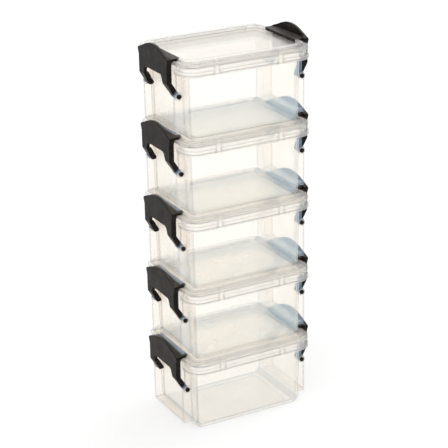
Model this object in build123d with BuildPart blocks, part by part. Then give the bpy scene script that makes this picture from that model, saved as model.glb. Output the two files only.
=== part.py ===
from build123d import *

import os

# Five small storage boxes in a stack. Each is a clear tub, a clear lid and two black clips.
#
# Millimetres, +Z up. The origin is on the surface that the stack stands on, under its centre.
# X runs along the boxes' long side, from the left clip to the right clip, and Y across them.

# ---------------------------------------------------------------- driving dimensions
box_count = 5

# tub: walls, floor and foot
mouth_length = 72.0        # clear length of the mouth
mouth_width = 48.4         # clear width of the mouth
mouth_corner = 1.8         # inside corner radius of the mouth
tub_height = 44.8          # underside of the foot to the top of the rim
wall = 1.2
floor_thickness = 1.3
draft = 0.8                # how far each wall leans in, from the mouth down to the foot
foot_height = 3.2          # tapered foot, which stands in the lid below
foot_inset_end = 2.8       # how far the foot draws in under each end wall
foot_inset_side = 0.7      # the same under each long wall
foot_corner = 2.4          # corner radius of the foot's underside
foot_round = 1.2           # rounding of the foot's lower edge
shoulder_round = 2.4       # rounding between the foot and the walls
panel_border = 4.0         # flat border round the recessed panel in the underside
panel_corner = 3.0
panel_depth = 0.4

# tub: rim
rim_reach_side = 7.1       # long wall's outer face to the edge of the bead
rim_reach_end = 4.9        # the same at the ends
rim_corner = 9.5           # outer corner radius of the bead
rim_thickness = 1.2        # flat flange that the lid lies on
skirt_drop = 5.6           # top of the rim to its lower edge
skirt_wall = 1.1
bead_height = 2.6          # thick band along the skirt's lower edge
bead_proud = 1.6           # how far the band stands out from the skirt
bead_round = 0.4
rim_line_depth = 0.25      # fine groove along the band
rim_line_height = 0.5

# tub: two upright fins at each end, and the shelf between their feet
fin_gap = 36.6             # clear width between the two fins of one end
fin_wall = 1.2
fin_reach = 5.6            # end wall's outer face to the fin's outer edge
fin_relief = 1.7           # how much narrower a fin is above the pivot
fin_relief_start = 1.0     # height above the pivot where it narrows
fin_start = 4.0            # foot's underside to the shelf's underside
shelf_thickness = 1.2
boss_radius = 2.2          # raised ring round the pivot hole
boss_height = 1.2

# lid
lid_clearance = 0.2        # lip to mouth, and skirt to rim
lid_plate = 1.2
ring_height = 2.0          # raised ring round the top, above the plate
ring_gap = 0.8             # tub wall that stands in the ring to the ring's inner face
ring_width_side = 4.8      # width of the ring's top along the long sides
ring_width_end = 2.2       # the same at the ends
ring_corner = 6.2          # inner corner radius of the ring
lid_wall = 1.1
lid_inset = 0.2            # lid's edge, in from the rim's bead
lid_skirt = 0.2            # how far the lid's edge hangs below the top of the rim
lip_depth = 2.4            # locating lip inside the mouth
step_height = 1.4          # ring's top down to the ledge outside it
ring_round = 0.7
ledge_round = 0.5
notch_depth = 0.3          # seat of a clip's hook, below the plate's top
notch_clearance = 0.5      # each side of the hook

# lugs that hang from the lid's long sides, two a side
lug_spacing = 41.2
lug_shift = 1.0            # each pair, towards one end: the two sides are half a turn apart
lug_width = 3.2
lug_drop = 5.4             # below the top of the rim
lug_clearance = 0.3
lug_round = 0.5

# clip
clip_gap = 4.1             # rim's end to the clip's outer face
clip_wall = 1.7            # panel thickness
clip_depth = 3.0           # depth of the side returns and of the arms
return_wall = 2.0
arch_rise = 5.2            # top of the arch above the lid's ring
arch_half = 11.5           # half width of the arch's round middle
arch_bow = 2.5             # middle of the arch to the ends of its round part
end_drop = 0.4             # ring's top down to the arch's outer ends
flare = 1.5                # how far the panel spreads past each arm at the ends of the arch
flare_drop = 4.2           # ring's top down to where the flare starts
hook_inset = 0.3           # arm's outer edge to the hook's end
hook_thickness = 1.5
hook_clearance = 0.7       # above its seat in the lid
hook_corner = 1.6
finger_drop = 10.2         # ring's top down to the upper edge of the finger gap
finger_width = 20.0
finger_corner = 2.2
bend_drop = 14.1           # ring's top down to where the arms turn in
arm_end_width = 3.9
arm_clearance = 0.4        # arm to fin
pivot_drop = 21.5          # ring's top down to the pivot
pivot_inset = 5.8          # clip's outer face to the pivot
eye_radius = 1.6
pin_radius = 1.4
pin_clearance = 0.05
pin_proud = 0.8            # end of the pin past the boss
pin_chamfer = 0.3
arm_tip_round = 1.5
arch_round = 1.2           # corners at the ends of the arch
clip_edge_round = 0.5
overlap = 0.5              # how far joined blocks of one piece run into each other

# ---------------------------------------------------------------- worked out from these
plate_top = tub_height + lid_plate                 # the next foot stands on the lid's plate
stack_pitch = plate_top
lid_top = plate_top + ring_height

wall_x = mouth_length / 2 + wall                   # outer faces of the walls at the mouth
wall_y = mouth_width / 2 + wall
wall_corner = mouth_corner + wall
shoulder_x = wall_x - draft                        # and at the top of the foot
shoulder_y = wall_y - draft
foot_x = shoulder_x - foot_inset_end
foot_y = shoulder_y - foot_inset_side

bead_x = wall_x + rim_reach_end
bead_y = wall_y + rim_reach_side
skirt_x = bead_x - bead_proud
skirt_y = bead_y - bead_proud
skirt_corner = rim_corner - bead_proud
skirt_bottom = tub_height - skirt_drop
flange_under = tub_height - rim_thickness

fin_x = wall_x + fin_reach
fin_inner = fin_gap / 2
fin_outer = fin_inner + fin_wall

lid_x = bead_x - lid_inset
lid_y = bead_y - lid_inset
lid_corner = rim_corner - lid_inset
ring_in_x = shoulder_x + ring_gap
ring_in_y = shoulder_y + ring_gap
ring_out_x = ring_in_x + ring_width_end
ring_out_y = ring_in_y + ring_width_side
ring_out_corner = ring_corner + ring_width_end
ledge_top = lid_top - step_height

clip_face = bead_x + clip_gap
clip_back = clip_face - clip_depth
pivot_x = clip_face - pivot_inset
pivot_z = lid_top - pivot_drop
arm_outer = fin_inner - arm_clearance
arm_inner = arm_outer - arm_end_width
clip_half = arm_outer + flare
hook_half = arm_outer - hook_inset
arch_shoulder = lid_top + arch_rise - arch_bow
finger_top = lid_top - finger_drop
bend_z = lid_top - bend_drop
notch_floor = plate_top - notch_depth
notch_half = hook_half + notch_clearance
hook_bottom = notch_floor + hook_clearance
hook_tip = ring_in_x + lid_clearance
pin_end = fin_outer + boss_height + pin_proud

os.makedirs("parts", exist_ok=True)

# ---------------------------------------------------------------- tub
# outside of the walls and the foot
with BuildPart() as shell:
    with BuildSketch(Plane.XY.offset(foot_height)):
        RectangleRounded(2 * shoulder_x, 2 * shoulder_y, wall_corner)
    with BuildSketch(Plane.XY.offset(tub_height)):
        RectangleRounded(2 * wall_x, 2 * wall_y, wall_corner)
    loft(ruled=True)
    with BuildSketch():
        RectangleRounded(2 * foot_x, 2 * foot_y, foot_corner)
    with BuildSketch(Plane.XY.offset(foot_height)):
        RectangleRounded(2 * shoulder_x, 2 * shoulder_y, wall_corner)
    loft(ruled=True)
    fillet(shell.edges().filter_by_position(Axis.Z, foot_height, foot_height), shoulder_round)
    fillet(shell.faces().sort_by(Axis.Z)[0].edges(), foot_round)

with BuildPart() as tub:
    # rim: skirt with a thick band along its lower edge
    with BuildSketch(Plane.XY.offset(skirt_bottom)):
        RectangleRounded(2 * bead_x, 2 * bead_y, rim_corner)
    extrude(amount=bead_height)
    fillet(tub.faces().filter_by(Plane.XY).edges(), bead_round)
    line_low = skirt_bottom + (bead_height - rim_line_height) / 2
    with BuildSketch(Plane.XY.offset(line_low)):
        RectangleRounded(2 * bead_x, 2 * bead_y, rim_corner)
        offset(amount=-rim_line_depth, mode=Mode.SUBTRACT)
    extrude(amount=rim_line_height, mode=Mode.SUBTRACT)
    with BuildSketch(Plane.XY.offset(skirt_bottom)):
        RectangleRounded(2 * skirt_x, 2 * skirt_y, skirt_corner)
    extrude(amount=skirt_drop)
    with BuildSketch(Plane.XY.offset(skirt_bottom)):
        RectangleRounded(2 * (skirt_x - skirt_wall), 2 * (skirt_y - skirt_wall), skirt_corner - skirt_wall)
    extrude(amount=flange_under - skirt_bottom, mode=Mode.SUBTRACT)

    # fins: one profile, cut across into four
    with BuildSketch(Plane.XZ):
        for side in (-1, 1):
            with BuildLine():
                Polyline(
                    (side * (shoulder_x - overlap), fin_start),
                    (side * fin_x, fin_start),
                    (side * fin_x, pivot_z + fin_relief_start),
                    (side * (fin_x - fin_relief), pivot_z + fin_relief_start + fin_relief),
                    (side * (fin_x - fin_relief), skirt_bottom + overlap),
                    (side * (skirt_x - overlap), skirt_bottom + overlap),
                    (side * (skirt_x - overlap), flange_under + overlap),
                    (side * (shoulder_x - overlap), flange_under + overlap),
                    close=True,
                )
            make_face()
    extrude(amount=fin_outer, both=True)
    with BuildSketch(Plane.XY.offset(fin_start + shelf_thickness)):
        with Locations((-wall_x - fin_reach / 2, 0), (wall_x + fin_reach / 2, 0)):
            Rectangle(3 * fin_reach, fin_gap)
    extrude(amount=flange_under - fin_start - shelf_thickness, mode=Mode.SUBTRACT)

    # pivot bosses and their holes
    for side in (-1, 1):
        with BuildSketch(Plane.XZ):
            with Locations((side * pivot_x, pivot_z)):
                Circle(boss_radius)
        extrude(amount=fin_outer + boss_height, both=True)
        with BuildSketch(Plane.XZ):
            with Locations((side * pivot_x, pivot_z)):
                Circle(boss_radius + overlap)
        extrude(amount=fin_inner, both=True, mode=Mode.SUBTRACT)
        with BuildSketch(Plane.XZ):
            with Locations((side * pivot_x, pivot_z)):
                Circle(pin_radius + pin_clearance)
        extrude(amount=pin_end, both=True, mode=Mode.SUBTRACT)

    add(shell.part)

    # inside
    with BuildSketch(Plane.XY.offset(foot_height)):
        RectangleRounded(2 * (shoulder_x - wall), 2 * (shoulder_y - wall), mouth_corner)
    with BuildSketch(Plane.XY.offset(tub_height)):
        RectangleRounded(mouth_length, mouth_width, mouth_corner)
    loft(ruled=True, mode=Mode.SUBTRACT)
    with BuildSketch(Plane.XY.offset(floor_thickness)):
        RectangleRounded(2 * (foot_x - wall), 2 * (foot_y - wall), foot_corner - wall)
    with BuildSketch(Plane.XY.offset(foot_height)):
        RectangleRounded(2 * (shoulder_x - wall), 2 * (shoulder_y - wall), mouth_corner)
    loft(ruled=True, mode=Mode.SUBTRACT)

    # recessed panel in the underside
    with BuildSketch():
        RectangleRounded(2 * (foot_x - panel_border), 2 * (foot_y - panel_border), panel_corner)
    extrude(amount=panel_depth, mode=Mode.SUBTRACT)

    # notches through the rim's band for the lid's lugs
    for side in (-1, 1):
        with Locations((side * lug_shift - lug_spacing / 2, side * bead_y, skirt_bottom + bead_height / 2),
                       (side * lug_shift + lug_spacing / 2, side * bead_y, skirt_bottom + bead_height / 2)):
            Box(lug_width + 2 * lug_clearance, 2 * bead_proud, bead_height + 2 * overlap, mode=Mode.SUBTRACT)

# ---------------------------------------------------------------- lid
with BuildPart() as lid:
    # outer edge
    with BuildSketch(Plane.XY.offset(tub_height - lid_skirt)):
        RectangleRounded(2 * lid_x, 2 * lid_y, lid_corner)
    extrude(amount=ledge_top - tub_height + lid_skirt)
    fillet(lid.faces().sort_by(Axis.Z)[-1].edges(), ledge_round)
    # raised ring
    with BuildSketch(Plane.XY.offset(tub_height)):
        RectangleRounded(2 * ring_out_x, 2 * ring_out_y, ring_out_corner)
    extrude(amount=lid_top - tub_height)
    fillet(lid.faces().sort_by(Axis.Z)[-1].edges(), ring_round)
    with BuildSketch(Plane.XY.offset(plate_top)):
        RectangleRounded(2 * ring_in_x, 2 * ring_in_y, ring_corner)
    extrude(amount=ring_height, mode=Mode.SUBTRACT)
    # hollow for the rim
    with BuildSketch(Plane.XY.offset(tub_height - lid_skirt)):
        RectangleRounded(2 * (skirt_x + lid_clearance), 2 * (skirt_y + lid_clearance),
                         skirt_corner + lid_clearance)
    extrude(amount=lid_skirt, mode=Mode.SUBTRACT)
    # channels under the ring's long sides
    with BuildSketch(Plane.XY.offset(tub_height)):
        with Locations((0, -(ring_in_y + ring_out_y) / 2), (0, (ring_in_y + ring_out_y) / 2)):
            SlotOverall(2 * (ring_in_x - ring_corner), ring_width_side - 2 * lid_wall)
    extrude(amount=lid_top - tub_height - lid_wall, mode=Mode.SUBTRACT)
    # lip inside the mouth
    with BuildSketch(Plane.XY.offset(tub_height - lip_depth)):
        RectangleRounded(mouth_length - 2 * lid_clearance, mouth_width - 2 * lid_clearance,
                         mouth_corner - lid_clearance)
        offset(amount=-lid_wall, mode=Mode.SUBTRACT)
    extrude(amount=lip_depth + lid_plate / 2)
    # seats for the hooks
    with Locations((-lid_x, 0, lid_top), (lid_x, 0, lid_top)):
        Box(2 * (lid_x - ring_in_x + lid_clearance), 2 * notch_half, 2 * (lid_top - notch_floor),
            mode=Mode.SUBTRACT)
    # lugs
    for side in (-1, 1):
        for x in (-lug_spacing / 2, lug_spacing / 2):
            with BuildSketch(Plane.YZ.offset(side * lug_shift + x - lug_width / 2)):
                with BuildLine():
                    Polyline(
                        (side * (skirt_y + lid_clearance), tub_height - lug_drop),
                        (side * lid_y, tub_height - lug_drop + lug_round),
                        (side * lid_y, ledge_top + lug_round),
                        (side * (ring_out_y - ring_round), lid_top),
                        (side * (ring_out_y - ring_round), tub_height + lid_plate / 2),
                        (side * (skirt_y + lid_clearance), tub_height + lid_plate / 2),
                        close=True,
                    )
                make_face()
            extrude(amount=lug_width)

# ---------------------------------------------------------------- clip
with BuildPart() as right_clip:
    # front outline: arched top, finger gap below and an arm each side of it
    with BuildSketch(Plane.YZ.offset(pivot_x - eye_radius)):
        with BuildLine():
            Line((0, finger_top), (finger_width / 2, finger_top))
            Polyline(
                (finger_width / 2, finger_top),
                (arm_inner, pivot_z + eye_radius),
                (arm_inner, pivot_z - eye_radius),
                (arm_outer, pivot_z - eye_radius),
                (arm_outer, lid_top - flare_drop),
                (clip_half, lid_top - end_drop),
                (arch_half, arch_shoulder),
            )
            mirror(about=Plane.YZ)
            ThreePointArc((arch_half, arch_shoulder), (0, lid_top + arch_rise), (-arch_half, arch_shoulder))
        outline = make_face()
        tips = outline.vertices().group_by(Axis.Y)[0]
        fillet(tips, arm_tip_round)
    extrude(amount=clip_face - pivot_x + eye_radius)
    fillet(right_clip.edges().filter_by(Axis.X).filter_by(
        lambda e: abs(e.center().Z - finger_top) < overlap), finger_corner)
    fillet(right_clip.edges().filter_by(Axis.X).sort_by(Axis.Y)[0], arch_round)
    fillet(right_clip.edges().filter_by(Axis.X).sort_by(Axis.Y)[-1], arch_round)

    # side profile: upright, then turned in to the eye
    with BuildSketch(Plane.XZ):
        with Locations((pivot_x, pivot_z)):
            Circle(eye_radius)
        with Locations(((clip_face + clip_back) / 2, bend_z - overlap / 2)):
            Rectangle(clip_depth, overlap)
        make_hull()
        with Locations(((clip_face + clip_back) / 2, bend_z - overlap)):
            Rectangle(clip_depth, lid_top + arch_rise - bend_z + 2 * overlap, align=(Align.CENTER, Align.MIN))
    extrude(amount=clip_half + overlap, both=True, mode=Mode.INTERSECT)

    fillet(right_clip.faces().sort_by(Axis.X)[-1].edges(), clip_edge_round)

    # hollow behind the panel
    with BuildSketch(Plane.YZ.offset(clip_face - clip_wall)):
        with Locations((0, bend_z)):
            Rectangle(2 * (arm_outer - return_wall), lid_top + arch_rise - bend_z,
                      align=(Align.CENTER, Align.MIN))
    extrude(amount=-clip_depth, mode=Mode.SUBTRACT)

    # hook over the lid's end
    with BuildSketch(Plane.XY.offset(hook_bottom)):
        with Locations((hook_tip, 0)):
            hook = Rectangle(clip_face - clip_wall / 2 - hook_tip, 2 * hook_half,
                             align=(Align.MIN, Align.CENTER))
        fillet(hook.vertices().group_by(Axis.X)[0], hook_corner)
    extrude(amount=hook_thickness)

    # pins
    for side in (-1, 1):
        with BuildSketch(Plane.XZ.offset(side * (arm_outer - arm_end_width / 2))):
            with Locations((pivot_x, pivot_z)):
                Circle(pin_radius)
        extrude(amount=side * (pin_end - arm_outer + arm_end_width / 2))
    chamfer(right_clip.faces().sort_by(Axis.Y)[0].edges() + right_clip.faces().sort_by(Axis.Y)[-1].edges(),
            pin_chamfer)

with BuildPart() as left_clip:
    mirror(right_clip.part, about=Plane.YZ)

# ---------------------------------------------------------------- the stack
for box in range(box_count):
    for name, piece in (("tub", tub), ("lid", lid), ("left_clip", left_clip), ("right_clip", right_clip)):
        copy = piece.part.moved(Location((0, 0, box * stack_pitch)))
        copy.label = f"{name}_{box + 1}"
        export_step(copy, f"parts/{copy.label}.step")
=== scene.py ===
import bpy
import numpy as np
from bpy.props import FloatProperty, FloatVectorProperty, PointerProperty
from mathutils import Matrix, Vector


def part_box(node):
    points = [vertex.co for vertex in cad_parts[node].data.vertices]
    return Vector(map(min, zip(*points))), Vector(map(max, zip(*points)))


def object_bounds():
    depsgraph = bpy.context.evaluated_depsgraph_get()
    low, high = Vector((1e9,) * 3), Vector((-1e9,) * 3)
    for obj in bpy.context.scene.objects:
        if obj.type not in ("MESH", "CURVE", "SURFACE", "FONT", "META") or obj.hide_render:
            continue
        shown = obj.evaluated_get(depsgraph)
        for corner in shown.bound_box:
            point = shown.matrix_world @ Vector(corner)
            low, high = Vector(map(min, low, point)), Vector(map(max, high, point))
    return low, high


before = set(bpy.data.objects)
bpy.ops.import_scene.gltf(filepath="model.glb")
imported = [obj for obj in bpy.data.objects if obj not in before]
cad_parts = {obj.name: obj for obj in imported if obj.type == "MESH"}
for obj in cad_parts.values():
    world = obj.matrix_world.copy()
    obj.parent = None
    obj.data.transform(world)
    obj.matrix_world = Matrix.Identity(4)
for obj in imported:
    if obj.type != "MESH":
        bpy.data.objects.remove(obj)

bl_info = {
    "name": "Clip-lid box stack",
    "version": (1, 0, 0),
    "blender": (4, 5, 0),
    "location": "3D View > Sidebar > Box stack",
    "description": "Dresses a stack of clear clip-lid storage boxes and sets the stage for it",
    "category": "Object",
}

MM = 0.001
CAD_BOX = [list(corner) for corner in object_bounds()]
STACK_MIDDLE = Vector([(low + high) / 2 for low, high in zip(*CAD_BOX)])
IMAGE_SIDE = 448                        # pixels
STACK_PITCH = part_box("tub_2")[0][2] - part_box("tub_1")[0][2]

# Where the parts of a box lie: heights from its tub's underside, and distances from the stack's middle
RIM_BOTTOM = 39.1 * MM                  # just under the lower edge of the rim's skirt
WALL_INSIDE = 35.3 * MM                 # just inside the end walls
WALL_OUTSIDE = 37.5 * MM                # just outside them
FIN_OUTSIDE = 19.6 * MM                 # just outside the fins' outer faces, across the stack
PLATE_HALF = (37.1 * MM, 25.3 * MM)     # half sizes of the lid's flat plate

# Limits between which a mask goes from 0 to 1
BEND_NORMAL = (0.95, 0.74)      # largest component of the unit normal, at a bend
LINE_COSINE = (0.99, 0.86)      # cosine between the face's normal and the one averaged round an edge
EDGE_ON_FACING = (0.66, 1.00)   # 1 - cosine of the angle to the surface, where it is seen edge on
UPWARD_NORMAL = (0.75, 0.95)    # Z of the unit normal, on faces that point up and get a painted sheen
HAZE_NOISE = (0.35, 0.65)       # noise of the clouds in the clear plastic
SMUDGE_NOISE = (0.40, 0.70)     # noise of the smudges on it
TOP_SHEEN_NOISE = (0.30, 0.70)        # noise of the painted sheen on the clips' tops
SCUFF_NOISE = (0.50, 0.80)      # noise of the scuffs all over the clips
MATT_NOISE = (0.35, 0.70)       # noise of the clips' rougher patches


# ---------------------------------------------------------------- settings
def colour_setting(name, about, default):
    """A colour, also used for shares of red, green and blue light."""
    return FloatVectorProperty(
        name=name, description=about, subtype="COLOR", size=3, min=0, max=1, default=default)


def share_setting(name, about, default):
    """A share between 0 and 1."""
    return FloatProperty(name=name, description=about, subtype="FACTOR", min=0, max=1, default=default)


def length_setting(name, about, default):
    """A length in metres."""
    return FloatProperty(
        name=name, description=about, subtype="DISTANCE", unit="LENGTH", min=0.05 * MM, default=default)


def place_setting(name, about, default):
    """A point in metres."""
    return FloatVectorProperty(
        name=name, description=about, subtype="XYZ", unit="LENGTH", size=3, default=default)


def direction_setting(name, about, default):
    """A direction."""
    return FloatVectorProperty(name=name, description=about, subtype="DIRECTION", size=3, default=default)


def settings_class(name, about, properties):
    """A PropertyGroup class with those properties."""
    return type(name, (bpy.types.PropertyGroup,), {"__doc__": about, "__annotations__": properties})


def skin_settings(name, about, haze, haze_turned, loss, loss_turned, corner_loss, edge_loss):
    """A PropertyGroup class for one kind of clear wall, with these defaults."""
    turned = "What is added to that as the wall turns edge on"
    return settings_class(name, about, {
        "haze": colour_setting("Haze", "Light that one skin of the wall scatters back, face on", haze),
        "haze_turned": colour_setting("Haze, turned", turned, haze_turned),
        "loss": colour_setting("Loss", "Light that one skin takes away, face on", loss),
        "loss_turned": colour_setting("Loss, turned", turned, loss_turned),
        # Turned, corner and edge loss are partly the longer path and partly painted shade, standing in for
        # the darker room seen by refraction at bends and edge on.
        "corner_loss": share_setting("Corner loss", "Further loss where the wall bends", corner_loss),
        "edge_loss": share_setting(
            "Edge loss", "Further loss where the wall is seen fully edge on", edge_loss),
    })


WallSettings = skin_settings(
    "WallSettings", "Clear plastic of the tubs' walls and floors",
    haze=(0.058, 0.101, 0.138), haze_turned=(0.520, 0.540, 0.560),
    loss=(0.003, 0.003, 0.008), loss_turned=(0.290, 0.265, 0.310), corner_loss=0.16, edge_loss=0.50)
# These strips only get a higher loss than the other walls, which draws them darker; the cause of that
# darkening is not known.
PostSettings = skin_settings(
    "PostSettings", "Thicker clear plastic of the end walls, from each corner to the fin beside it",
    haze=(0.058, 0.101, 0.138), haze_turned=(0.520, 0.540, 0.560),
    loss=(0.022, 0.034, 0.050), loss_turned=(0.290, 0.265, 0.310), corner_loss=0.10, edge_loss=0.80)
FinSettings = skin_settings(
    "FinSettings", "Clear plastic of the upright fins that carry the clips",
    haze=(0.054, 0.091, 0.146), haze_turned=(0.100, 0.150, 0.200),
    loss=(0.018, 0.032, 0.050), loss_turned=(0.529, 0.537, 0.572), corner_loss=0.45, edge_loss=0.70)
RimSettings = skin_settings(
    "RimSettings", "Thicker, milkier plastic of the tubs' rims",
    haze=(0.240, 0.232, 0.242), haze_turned=(0.064, 0.120, 0.110),
    loss=(0.012, 0.019, 0.032), loss_turned=(0.150, 0.155, 0.170), corner_loss=0.00, edge_loss=0.55)
LidSettings = skin_settings(
    "LidSettings", "Milky plastic of the lids",
    haze=(0.150, 0.146, 0.156), haze_turned=(0.008, 0.004, 0.009),
    loss=(0.026, 0.032, 0.045), loss_turned=(0.355, 0.373, 0.381), corner_loss=0.00, edge_loss=0.07)
RingSettings = skin_settings(
    "RingSettings", "Thicker plastic of the lids' raised ring and edge",
    haze=(0.165, 0.162, 0.164), haze_turned=(0.010, 0.004, 0.010),
    loss=(0.022, 0.028, 0.040), loss_turned=(0.220, 0.230, 0.240), corner_loss=0.20, edge_loss=0.25)


class PlasticFinishSettings(bpy.types.PropertyGroup):
    """Surface of the clear plastic"""

    ior: FloatProperty(name="IOR", description="Index of refraction", min=1, max=3, default=1.42)
    roughness: share_setting("Roughness", "Roughness of the clean surface", 0.16)
    smudge_roughness: share_setting("Smudge roughness", "What smudges add to the roughness", 0.10)
    cloud_size: length_setting("Cloud size", "Size of the faint clouds in the plastic", 18 * MM)
    cloud_depth: share_setting("Cloud depth", "How far the clouds raise and lower the haze", 0.08)
    grain_size: length_setting("Grain size", "Size of the surface's faint waves", 2 * MM)
    grain_height: length_setting("Grain height", "Height of those waves at full strength", 0.2 * MM)
    grain_strength: share_setting("Grain strength", "Strength of those waves", 0.05)
    # The line along sharp edges is painted shade, standing in for the darker room that refraction shows
    # there.
    line_width: length_setting("Line width", "Width of the shaded line along sharp edges", 0.5 * MM)
    edge_line_shade: share_setting("Line loss", "Share of light lost in that line", 0.80)


class BlackClipSettings(bpy.types.PropertyGroup):
    """Moulded black plastic of the clips"""

    colour: colour_setting("Colour", "Colour of the clips", (0.009, 0.0068, 0.0050))
    # The rubbed colour is a painted sheen on faces that point up, and real wear in the scuffs elsewhere.
    sheen_and_wear_colour: colour_setting("Rubbed colour", "Colour where the clips are rubbed", (0.085, 0.077, 0.069))
    # Least painted sheen on faces that point up.
    least_top_sheen: share_setting("Least rubbed", "Least rubbing on faces that point up", 0.60)
    scuffs: share_setting("Scuffs", "Rubbing in the scuffs elsewhere", 0.30)
    ior: FloatProperty(name="IOR", description="Index of refraction", min=1, max=3, default=1.46)
    gloss: share_setting("Specular level", "Strength of mirror reflections; 0.5 is the natural one", 0.10)
    roughness: share_setting("Roughness", "Roughness of the glossiest patches", 0.34)
    patch_roughness: share_setting("Patch roughness", "What the roughest patches add to that", 0.10)
    cloud_size: length_setting("Patch size", "Size of the rubbed and rougher patches", 9 * MM)
    grain_size: length_setting("Grain size", "Size of the moulded grain", 0.9 * MM)
    grain_height: length_setting("Grain height", "Height of the grain at full strength", 0.1 * MM)
    grain_strength: share_setting("Grain strength", "Strength of the grain", 0.12)


def lamp_settings(name, about, power, size, where):
    """A PropertyGroup class for one soft lamp, with these defaults."""
    return settings_class(name, about, {
        "power": FloatProperty(
            name="Power", description="Power of the lamp",
            subtype="POWER", unit="POWER", min=0, default=power),
        "size": length_setting("Size", "Side of the square lamp", size),
        "where": place_setting("Place", "Middle of the lamp", where),
    })


TopLampSettings = lamp_settings(
    "TopLampSettings", "Soft lamp overhead", power=0.2, size=0.9, where=(0.10, 0.15, 1.15))
FrontLampSettings = lamp_settings(
    "FrontLampSettings", "Soft lamp at the front left", power=7.0, size=1.2, where=(-0.75, -0.85, 0.40))
SideLampSettings = lamp_settings(
    "SideLampSettings", "Soft lamp at the right", power=3.0, size=1.0, where=(0.95, 0.35, 0.60))


class StageSettings(bpy.types.PropertyGroup):
    """Floor, room light and camera"""

    floor_radius: length_setting("Floor radius", "Radius of the floor", 6.0)
    floor_colour: colour_setting("Floor colour", "Colour of the floor", (0.72, 0.72, 0.72))
    floor_glow: share_setting("Floor glow", "Light added to the floor where it is seen directly", 0.385)
    far_glow: share_setting("Far glow", "The same, out where the lamps don't reach", 0.50)
    glow_start: length_setting(
        "Far glow start", "Distance from the stack where the glow starts to grow", 0.8)
    glow_end: length_setting(
        "Far glow end", "Distance from the stack where it reaches the far glow", 1.3)
    room_light: FloatProperty(
        name="Room light", description="Strength of the light from all round", min=0, max=2, default=0.72)
    camera_place: place_setting("Camera place", "Where the camera stands", (-0.42116, -0.77418, 0.46457))
    camera_ahead: direction_setting(
        "Camera direction", "Direction that the camera looks in", (0.44325, 0.81862, -0.36524))
    camera_up: direction_setting(
        "Camera up", "Direction of the top of the camera's view", (0.19027, 0.31224, 0.93075))
    focal_pixels: FloatProperty(
        name="Focal length in pixels", description="Focal length over the size of one pixel",
        min=100, default=1566.1)


# ---------------------------------------------------------------- node helpers
def new_material(name):
    """An empty node material and its tree."""
    material = bpy.data.materials.new(name)
    material.use_nodes = True
    material.node_tree.nodes.clear()
    return material, material.node_tree


def plug(tree, socket, value):
    """Links an output to the socket, or sets the socket's own value."""
    if isinstance(value, bpy.types.NodeSocket):
        tree.links.new(value, socket)
    else:
        socket.default_value = value


def node(tree, kind, **sockets):
    """A node of that kind with its input sockets set; a socket's value may be an output to link."""
    made = tree.nodes.new(kind)
    for name, value in sockets.items():
        plug(tree, made.inputs[name.replace("_", " ")], value)
    return made


def add_shaders(tree, first, second):
    """Output of an Add Shader node."""
    made = tree.nodes.new("ShaderNodeAddShader")
    plug(tree, made.inputs[0], first.outputs[0])
    plug(tree, made.inputs[1], second.outputs[0])
    return made.outputs[0]


def finish_surface(tree, shader):
    """Ends a material with that shader output."""
    node(tree, "ShaderNodeOutputMaterial", Surface=shader)


def maths(tree, operation, first, second=0.0):
    """Output of a Math node."""
    made = tree.nodes.new("ShaderNodeMath")
    made.operation = operation
    plug(tree, made.inputs[0], first)
    plug(tree, made.inputs[1], second)
    return made.outputs[0]


def vector_maths(tree, operation, first, second=(0.0, 0.0, 0.0)):
    """Output of a Vector Math node; SCALE takes a number or a float output as its second value."""
    made = tree.nodes.new("ShaderNodeVectorMath")
    made.operation = operation
    plug(tree, made.inputs[0], first)
    plug(tree, made.inputs["Scale"] if operation == "SCALE" else made.inputs[1], second)
    return made.outputs["Value"] if operation in ("DOT_PRODUCT", "LENGTH") else made.outputs[0]


def separate(tree, vector):
    """The three outputs of a Separate XYZ node."""
    return node(tree, "ShaderNodeSeparateXYZ", Vector=vector).outputs


def blend_colours(tree, share, first, second):
    """Output of a colour Mix node: first where share is 0, second where it is 1."""
    made = tree.nodes.new("ShaderNodeMix")
    made.data_type = "RGBA"
    plug(tree, made.inputs["Factor"], share)
    # The node has sockets for every type of data, so its colours go by number
    first_colour, second_colour, result = made.inputs[6], made.inputs[7], made.outputs[2]
    for socket, value in ((first_colour, first), (second_colour, second)):
        plug(tree, socket, value if isinstance(value, bpy.types.NodeSocket) else (*value, 1.0))
    return result


def ranged(tree, value, limits, low=0.0, high=1.0):
    """Output of a Map Range node, clamped: low at the first of the two limits and high at the second."""
    made = tree.nodes.new("ShaderNodeMapRange")
    for index, number in enumerate((value, *limits, low, high)):
        plug(tree, made.inputs[index], number)
    return made.outputs[0]


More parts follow.
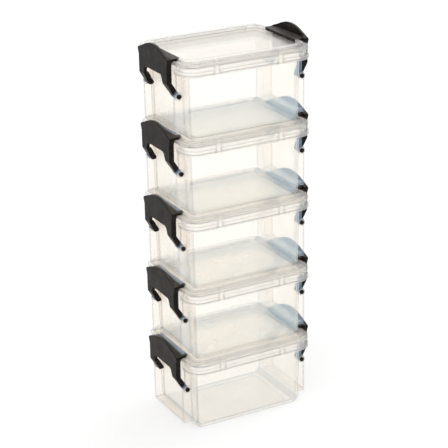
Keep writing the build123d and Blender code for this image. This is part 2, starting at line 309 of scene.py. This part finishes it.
def surface_group():
    """Node group "moulded surface": height of the fine grain, and masks of clouds and smudges.

    All three come from Object coordinates. Grain is noise at Grain Size, Clouds is broad noise at Cloud
    Size, and Smudges is broad noise stretched by its own warp, so that it looks wiped.
    """
    name = "moulded surface"
    if name in bpy.data.node_groups:
        return bpy.data.node_groups[name]
    group = bpy.data.node_groups.new(name, "ShaderNodeTree")
    for label, value in (("Grain Size", 1 * MM), ("Cloud Size", 20 * MM)):
        socket = group.interface.new_socket(label, in_out="INPUT", socket_type="NodeSocketFloat")
        socket.default_value = value
    for label in ("Grain", "Clouds", "Smudges"):
        group.interface.new_socket(label, in_out="OUTPUT", socket_type="NodeSocketFloat")
    source = group.nodes.new("NodeGroupInput")
    sink = group.nodes.new("NodeGroupOutput")
    point = group.nodes.new("ShaderNodeTexCoord").outputs["Object"]
    grain_scale = maths(group, "DIVIDE", 1.0, source.outputs["Grain Size"])
    cloud_scale = maths(group, "DIVIDE", 1.0, source.outputs["Cloud Size"])
    grain = node(group, "ShaderNodeTexNoise", Vector=point, Scale=grain_scale, Detail=3.0, Roughness=0.6)
    clouds = node(group, "ShaderNodeTexNoise", Vector=point, Scale=cloud_scale, Detail=2.0, Roughness=0.5)
    smudges = node(group, "ShaderNodeTexNoise", Vector=point, Scale=cloud_scale, Detail=4.0, Roughness=0.65,
                   Distortion=2.5)
    group.links.new(grain.outputs["Fac"], sink.inputs["Grain"])
    group.links.new(clouds.outputs["Fac"], sink.inputs["Clouds"])
    group.links.new(smudges.outputs["Fac"], sink.inputs["Smudges"])
    return group


def moulded_surface(tree, settings):
    """Outputs of the moulded surface group, placed with the settings' sizes, and the bump of its grain."""
    made = tree.nodes.new("ShaderNodeGroup")
    made.node_tree = surface_group()
    made.inputs["Grain Size"].default_value = settings.grain_size
    made.inputs["Cloud Size"].default_value = settings.cloud_size
    bump = node(tree, "ShaderNodeBump", Strength=settings.grain_strength, Distance=settings.grain_height,
                Height=made.outputs["Grain"])
    return made.outputs, bump.outputs[0]


# ---------------------------------------------------------------- masks of the clear plastic
def place_in_box(tree):
    """Distances from the stack's middle in X and in Y, and height over the underside of the point's box."""
    point = separate(tree, tree.nodes.new("ShaderNodeTexCoord").outputs["Object"])
    return (maths(tree, "ABSOLUTE", point[0]), maths(tree, "ABSOLUTE", point[1]),
            maths(tree, "MODULO", point[2], STACK_PITCH))


def fin_mask(tree, point):
    """1 outside the end walls, on the fins and their shelves."""
    along, _, _ = point
    return maths(tree, "GREATER_THAN", along, WALL_OUTSIDE)


def post_mask(tree, point):
    """1 on the end walls, from each corner to the fin beside it."""
    along, across, _ = point
    return maths(tree, "MULTIPLY", maths(tree, "GREATER_THAN", along, WALL_INSIDE),
                 maths(tree, "GREATER_THAN", across, FIN_OUTSIDE))


def rim_mask(tree, point):
    """1 from the rim's lower edge up, and on the rings round the pivots, which stand out from the fins."""
    along, across, height = point
    pivot_ring = maths(tree, "MULTIPLY", maths(tree, "GREATER_THAN", along, WALL_OUTSIDE),
                       maths(tree, "GREATER_THAN", across, FIN_OUTSIDE))
    return maths(tree, "MAXIMUM", maths(tree, "GREATER_THAN", height, RIM_BOTTOM), pivot_ring)


def ring_mask(tree, point):
    """1 outside the lid's plate: on its ring, ledge, edge and lugs."""
    along, across, _ = point
    return maths(tree, "MAXIMUM", maths(tree, "GREATER_THAN", along, PLATE_HALF[0]),
                 maths(tree, "GREATER_THAN", across, PLATE_HALF[1]))


def bend_mask(tree):
    """0 on flat faces and 1 where a rounding turns away from all three axes."""
    normal = tree.nodes.new("ShaderNodeTexCoord").outputs["Normal"]
    parts = separate(tree, vector_maths(tree, "ABSOLUTE", normal))
    largest = maths(tree, "MAXIMUM", maths(tree, "MAXIMUM", parts[0], parts[1]), parts[2])
    return ranged(tree, largest, BEND_NORMAL)


def sharp_edge_mask(tree, width):
    """1 along sharp edges, where the normal averaged over that width leaves the face's own."""
    rounded = node(tree, "ShaderNodeBevel", Radius=width)
    rounded.samples = 4
    own = tree.nodes.new("ShaderNodeNewGeometry").outputs["Normal"]
    return ranged(tree, vector_maths(tree, "DOT_PRODUCT", rounded.outputs[0], own), LINE_COSINE)


# ---------------------------------------------------------------- materials
def three_shares(value):
    """A setting's shares of red, green and blue light; a single share stands for all three."""
    return (value,) * 3 if isinstance(value, float) else tuple(value)


def clear_plastic(name, finish, main, zones):
    """Milky clear plastic. Each skin scatters back some haze and passes what neither haze nor loss takes.

    With f = 1 - cosine of the angle to the surface, haze = haze + turned haze * f^2, and
    loss = loss + turned loss * f^3, with more at bends, along sharp edges and where it is seen edge on.
    zones holds (settings, mask function) pairs, whose settings take over from main where the mask is 1.
    """
    material, tree = new_material(name)
    marks, bump = moulded_surface(tree, finish)
    point = place_in_box(tree)
    masks = [(settings, make_mask(tree, point)) for settings, make_mask in zones]

    def share(field):
        """The field's three shares in main, with each zone's own blended in where its mask is 1."""
        value = three_shares(getattr(main, field))
        for settings, mask in masks:
            value = blend_colours(tree, mask, value, three_shares(getattr(settings, field)))
        return value

    def scaled(field, by):
        """The same, times a number that changes over the surface."""
        return vector_maths(tree, "SCALE", share(field), by)

    facing = node(tree, "ShaderNodeLayerWeight", Blend=0.5).outputs["Facing"]
    squared = maths(tree, "POWER", facing, 2.0)
    cubed = maths(tree, "POWER", facing, 3.0)
    cloudy = ranged(tree, marks["Clouds"], HAZE_NOISE, 1.0 - finish.cloud_depth, 1.0 + finish.cloud_depth)
    haze = vector_maths(tree, "ADD", share("haze"), scaled("haze_turned", squared))
    haze = vector_maths(tree, "SCALE", haze, cloudy)
    loss = vector_maths(tree, "ADD", share("loss"), scaled("loss_turned", cubed))
    # Painted shade in part: more loss at bends and edge on, standing in for refraction as well as the
    # longer path.
    loss = vector_maths(tree, "ADD", loss, scaled("corner_loss", bend_mask(tree)))
    loss = vector_maths(tree, "ADD", loss, scaled("edge_loss", ranged(tree, facing, EDGE_ON_FACING)))
    passed = vector_maths(tree, "SUBTRACT", (1.0, 1.0, 1.0), vector_maths(tree, "ADD", haze, loss))
    passed = vector_maths(tree, "MAXIMUM", passed)
    # Painted shade along sharp edges.
    line = ranged(tree, sharp_edge_mask(tree, finish.line_width), (0.0, 1.0), 1.0, 1.0 - finish.edge_line_shade)
    passed = vector_maths(tree, "SCALE", passed, line)
    rough = ranged(tree, marks["Smudges"], SMUDGE_NOISE,
                   finish.roughness, finish.roughness + finish.smudge_roughness)
    skin = node(tree, "ShaderNodeBsdfPrincipled", Base_Color=haze, Roughness=rough, IOR=finish.ior,
                Normal=bump)
    clear = node(tree, "ShaderNodeBsdfTransparent", Color=passed)
    finish_surface(tree, add_shaders(tree, skin, clear))
    return material


def black_plastic(settings):
    """Moulded black plastic: warm black with a fine grain, rubbed paler on top and a little in patches."""
    material, tree = new_material("moulded black plastic")
    marks, bump = moulded_surface(tree, settings)
    normal = separate(tree, tree.nodes.new("ShaderNodeTexCoord").outputs["Normal"])
    # Faces that point up get a painted sheen from the light above; the scuffs elsewhere are wear.
    upward = ranged(tree, normal[2], UPWARD_NORMAL)
    top_sheen = ranged(tree, marks["Clouds"], TOP_SHEEN_NOISE, settings.least_top_sheen, 1.0)
    elsewhere = ranged(tree, marks["Smudges"], SCUFF_NOISE, 0.0, settings.scuffs)
    sheen_and_wear = maths(tree, "MAXIMUM", maths(tree, "MULTIPLY", upward, top_sheen), elsewhere)
    tint = blend_colours(tree, sheen_and_wear, settings.colour, settings.sheen_and_wear_colour)
    rough = ranged(tree, marks["Clouds"], MATT_NOISE,
                   settings.roughness, settings.roughness + settings.patch_roughness)
    skin = node(tree, "ShaderNodeBsdfPrincipled", Base_Color=tint, Roughness=rough, IOR=settings.ior,
                Specular_IOR_Level=settings.gloss, Normal=bump)
    finish_surface(tree, skin.outputs[0])
    return material


def dress(prefixes, material):
    """Gives the material to every CAD node whose name starts with one of the prefixes."""
    for name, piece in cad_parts.items():
        if name.startswith(prefixes):
            piece.data.materials.clear()
            piece.data.materials.append(material)


# ---------------------------------------------------------------- stage
def seen_directly(tree):
    """1 for rays that show the surroundings: from the camera, in a reflection or through clear walls."""
    path = tree.nodes.new("ShaderNodeLightPath").outputs
    return maths(tree, "MAXIMUM", path["Is Camera Ray"],
                 maths(tree, "MAXIMUM", path["Is Glossy Ray"], path["Is Transmission Ray"]))


def floor_material(settings):
    """Plain pale floor, which glows a little where it is seen directly, so that it reads as white."""
    material, tree = new_material("white floor")
    skin = node(tree, "ShaderNodeBsdfPrincipled", Base_Color=(*settings.floor_colour, 1.0), Roughness=0.9,
                Specular_IOR_Level=0.1)
    away = vector_maths(tree, "LENGTH", tree.nodes.new("ShaderNodeTexCoord").outputs["Object"])
    strength = ranged(tree, away, (settings.glow_start, settings.glow_end),
                      settings.floor_glow, settings.far_glow)
    glow = node(tree, "ShaderNodeEmission", Color=(1, 1, 1, 1),
                Strength=maths(tree, "MULTIPLY", seen_directly(tree), strength))
    finish_surface(tree, add_shaders(tree, skin, glow))
    return material


def add_object(name, data):
    """An object of that data, linked to the scene."""
    made = bpy.data.objects.new(name, data)
    bpy.context.scene.collection.objects.link(made)
    return made


def floor_disc(radius, rings=4, around=48):
    """A flat disc: rings of points at even steps of radius, with the angle going round once."""
    share = np.linspace(0.0, 1.0, rings + 1)[1:]
    angle = np.linspace(0.0, 2 * np.pi, around, endpoint=False)
    x = np.outer(share, np.cos(angle)).ravel() * radius
    y = np.outer(share, np.sin(angle)).ravel() * radius
    points = np.vstack([[0, 0, 0], np.stack([x, y, np.zeros_like(x)], axis=1)])
    step = np.arange(around)
    after = (step + 1) % around
    middle = np.stack([np.zeros(around, int), 1 + step, 1 + after], axis=1)
    inner = 1 + around * np.arange(rings - 1)[:, None]      # first point of each ring but the last
    outer = inner + around
    quads = np.stack([inner + step, outer + step, outer + after, inner + after], axis=-1).reshape(-1, 4)
    mesh = bpy.data.meshes.new("floor")
    mesh.from_pydata(points.tolist(), [], middle.tolist() + quads.tolist())
    return add_object("floor", mesh)


def add_lamp(name, settings):
    """A square soft lamp, turned to the middle of the stack."""
    data = bpy.data.lights.new(name, "AREA")
    data.size = settings.size
    data.energy = settings.power
    made = add_object(name, data)
    made.location = settings.where
    made.rotation_euler = (STACK_MIDDLE - Vector(settings.where)).to_track_quat("-Z", "Y").to_euler()
    made.visible_camera = False
    made.visible_glossy = False     # reflections show the white room, which a lamp would add to


def add_room_light(strength):
    """The world: white where it is seen directly, and a soft even light everywhere else."""
    world = bpy.data.worlds.new("white room")
    bpy.context.scene.world = world
    world.use_nodes = True
    tree = world.node_tree
    tree.nodes.clear()
    soft = node(tree, "ShaderNodeBackground", Color=(1, 1, 1, 1), Strength=strength)
    white = node(tree, "ShaderNodeBackground", Color=(1, 1, 1, 1), Strength=1.0)
    both = tree.nodes.new("ShaderNodeMixShader")
    for socket, output in zip(both.inputs, (seen_directly(tree), soft.outputs[0], white.outputs[0])):
        plug(tree, socket, output)
    node(tree, "ShaderNodeOutputWorld", Surface=both.outputs[0])


def add_camera(settings):
    """The camera at its place, turned from its direction and the top of its view."""
    data = bpy.data.cameras.new("camera")
    data.sensor_width = 36.0
    data.lens = data.sensor_width * settings.focal_pixels / IMAGE_SIDE
    data.clip_end = 50.0
    camera = add_object("camera", data)
    ahead = Vector(settings.camera_ahead).normalized()
    side = ahead.cross(Vector(settings.camera_up)).normalized()
    up = side.cross(ahead)
    turn = Matrix((side, up, -ahead)).transposed().to_4x4()
    camera.matrix_world = Matrix.Translation(Vector(settings.camera_place)) @ turn
    bpy.context.scene.camera = camera


# ---------------------------------------------------------------- operators
class BOXSTACK_OT_clear_boxes(bpy.types.Operator):
    """Gives the tubs and lids their milky clear plastic"""

    bl_idname = "boxstack.clear_boxes"
    bl_label = "Tubs and lids"

    def execute(self, context):
        scene = context.scene
        finish = scene.box_plastic_finish
        tub_zones = ((scene.box_posts, post_mask), (scene.box_fins, fin_mask), (scene.box_rims, rim_mask))
        lid_zones = ((scene.box_rings, ring_mask),)
        dress(("tub_",), clear_plastic("clear tub plastic", finish, scene.box_walls, tub_zones))
        dress(("lid_",), clear_plastic("milky lid plastic", finish, scene.box_lids, lid_zones))
        return {"FINISHED"}


class BOXSTACK_OT_black_clips(bpy.types.Operator):
    """Gives the clips their black plastic"""

    bl_idname = "boxstack.black_clips"
    bl_label = "Clips"

    def execute(self, context):
        dress(("left_clip_", "right_clip_"), black_plastic(context.scene.box_black_clips))
        return {"FINISHED"}


class BOXSTACK_OT_stage(bpy.types.Operator):
    """Makes the floor, the lamps, the room's light and the camera"""

    bl_idname = "boxstack.stage"
    bl_label = "Stage"

    def execute(self, context):
        scene = context.scene
        settings = scene.box_stage
        floor = floor_disc(settings.floor_radius)
        floor.data.materials.append(floor_material(settings))
        add_room_light(settings.room_light)
        add_lamp("top lamp", scene.box_top_lamp)
        add_lamp("front lamp", scene.box_front_lamp)
        add_lamp("side lamp", scene.box_side_lamp)
        add_camera(settings)
        scene.view_settings.view_transform = "Standard"
        scene.cycles.transparent_max_bounces = 64      # a ray can cross several dozen clear skins
        scene.cycles.max_bounces = 12
        return {"FINISHED"}


# ---------------------------------------------------------------- panel and registration
# Each group of settings, by its name on the scene, in the panel's order
SETTINGS = {
    "box_walls": WallSettings, "box_posts": PostSettings, "box_fins": FinSettings, "box_rims": RimSettings,
    "box_lids": LidSettings, "box_rings": RingSettings, "box_plastic_finish": PlasticFinishSettings,
    "box_black_clips": BlackClipSettings, "box_top_lamp": TopLampSettings,
    "box_front_lamp": FrontLampSettings, "box_side_lamp": SideLampSettings, "box_stage": StageSettings,
}
# The operator that stands under a group in the panel
OPERATOR_UNDER = {
    "box_plastic_finish": BOXSTACK_OT_clear_boxes, "box_black_clips": BOXSTACK_OT_black_clips,
    "box_stage": BOXSTACK_OT_stage,
}


class BOXSTACK_PT_panel(bpy.types.Panel):
    """Panel that lists the stack's settings, with each operator under the last group that it reads"""

    bl_label = "Box stack"
    bl_space_type = "VIEW_3D"
    bl_region_type = "UI"
    bl_category = "Box stack"

    def draw(self, context):
        for group, settings in SETTINGS.items():
            part = self.layout.box()
            part.label(text=settings.__doc__)
            for name in settings.__annotations__:
                part.prop(getattr(context.scene, group), name)
            if group in OPERATOR_UNDER:
                part.operator(OPERATOR_UNDER[group].bl_idname)


CLASSES = (*SETTINGS.values(), *OPERATOR_UNDER.values(), BOXSTACK_PT_panel)


def register():
    """Registers the classes and puts the settings on the scene."""
    for cls in CLASSES:
        bpy.utils.register_class(cls)
    for name, settings in SETTINGS.items():
        setattr(bpy.types.Scene, name, PointerProperty(type=settings))


def unregister():
    """Takes the settings off the scene and unregisters the classes."""
    for name in SETTINGS:
        delattr(bpy.types.Scene, name)
    for cls in reversed(CLASSES):
        bpy.utils.unregister_class(cls)


def main():
    """Registers the classes, makes everything in order and writes the sizes."""
    register()
    bpy.ops.boxstack.clear_boxes()
    bpy.ops.boxstack.black_clips()
    bpy.ops.boxstack.stage()
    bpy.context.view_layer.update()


if __name__ == "__main__":
    main()
